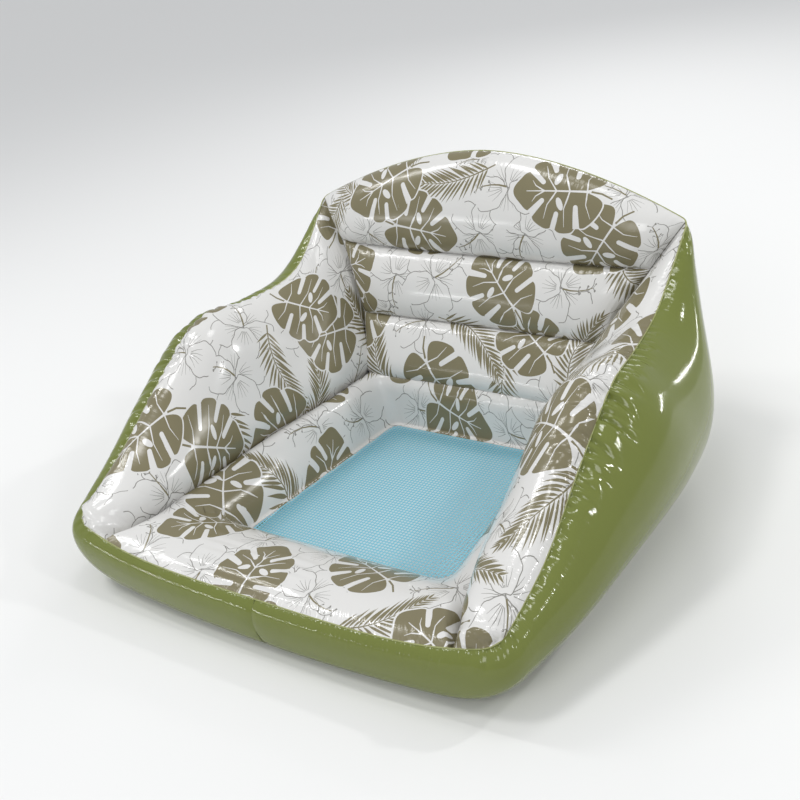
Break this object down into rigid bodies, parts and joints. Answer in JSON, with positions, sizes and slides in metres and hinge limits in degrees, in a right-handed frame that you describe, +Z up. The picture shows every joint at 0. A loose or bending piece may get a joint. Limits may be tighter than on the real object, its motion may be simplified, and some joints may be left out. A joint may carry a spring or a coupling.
{
  "type": "inflatable pool chair",
  "caption": "Inflatable pool chair: arched backrest of level air rolls, rounded arm pillows and a padded seat ring round a flat net, in a bulging welded vinyl wrap with push-in valves.",
  "frame": {"origin": "on the ground under the middle of the chair's box", "axes": "+Z up, the open front of the chair towards -Y, +X to the right as seen from the front"},
  "size_m": [1.146, 0.9628, 0.5806],
  "materials": {
    "olive_vinyl": "glossy",
    "printed_vinyl": "glossy",
    "web_vinyl": "satin",
    "net_fabric": "matte",
    "valve_vinyl": "satin",
    "valve_stem_vinyl": "glossy"
  },
  "bodies": {
    "chair": {"outer_wrap_right": "olive_vinyl", "outer_wrap_left": "olive_vinyl", "base_panel": "olive_vinyl", "arm_panel_right": "printed_vinyl", "arm_panel_left": "printed_vinyl", "backrest_panel": "printed_vinyl", "seat_panel": "printed_vinyl", "divider_web_right": "web_vinyl", "divider_web_left": "web_vinyl", "divider_web_back": "web_vinyl", "backrest_baffle_upper": "web_vinyl", "backrest_baffle_lower": "web_vinyl", "arm_web_right": "web_vinyl", "arm_web_left": "web_vinyl", "seat_net": "net_fabric", "net_border_tape": "web_vinyl", "upper_valve_flange": "valve_vinyl", "base_valve_flange": "valve_vinyl"},
    "upper_stem": {"upper_valve_stem": "valve_stem_vinyl"},
    "upper_plug": {"upper_valve_plug": "valve_stem_vinyl", "upper_valve_tether": "valve_stem_vinyl"},
    "base_stem": {"base_valve_stem": "valve_stem_vinyl"},
    "base_plug": {"base_valve_plug": "valve_stem_vinyl", "base_valve_tether": "valve_stem_vinyl"}
  },
  "joints": [
    {"name": "upper_valve_slide", "type": "slide", "parent": "chair", "child": "upper_stem", "axis": [0.1102, 0.9939, -0.0016], "range_m": [0, 0.014]},
    {"name": "upper_plug_pull", "type": "slide", "parent": "upper_stem", "child": "upper_plug", "axis": [0.1102, 0.9939, -0.0016], "range_m": [0, 0.012], "deforming": ["upper_valve_tether"]},
    {"name": "base_valve_slide", "type": "slide", "parent": "chair", "child": "base_stem", "axis": [-0.1063, 0.9767, -0.1867], "range_m": [0, 0.014]},
    {"name": "base_plug_pull", "type": "slide", "parent": "base_stem", "child": "base_plug", "axis": [-0.1063, 0.9767, -0.1867], "range_m": [0, 0.012], "deforming": ["base_valve_tether"]}
  ]
}
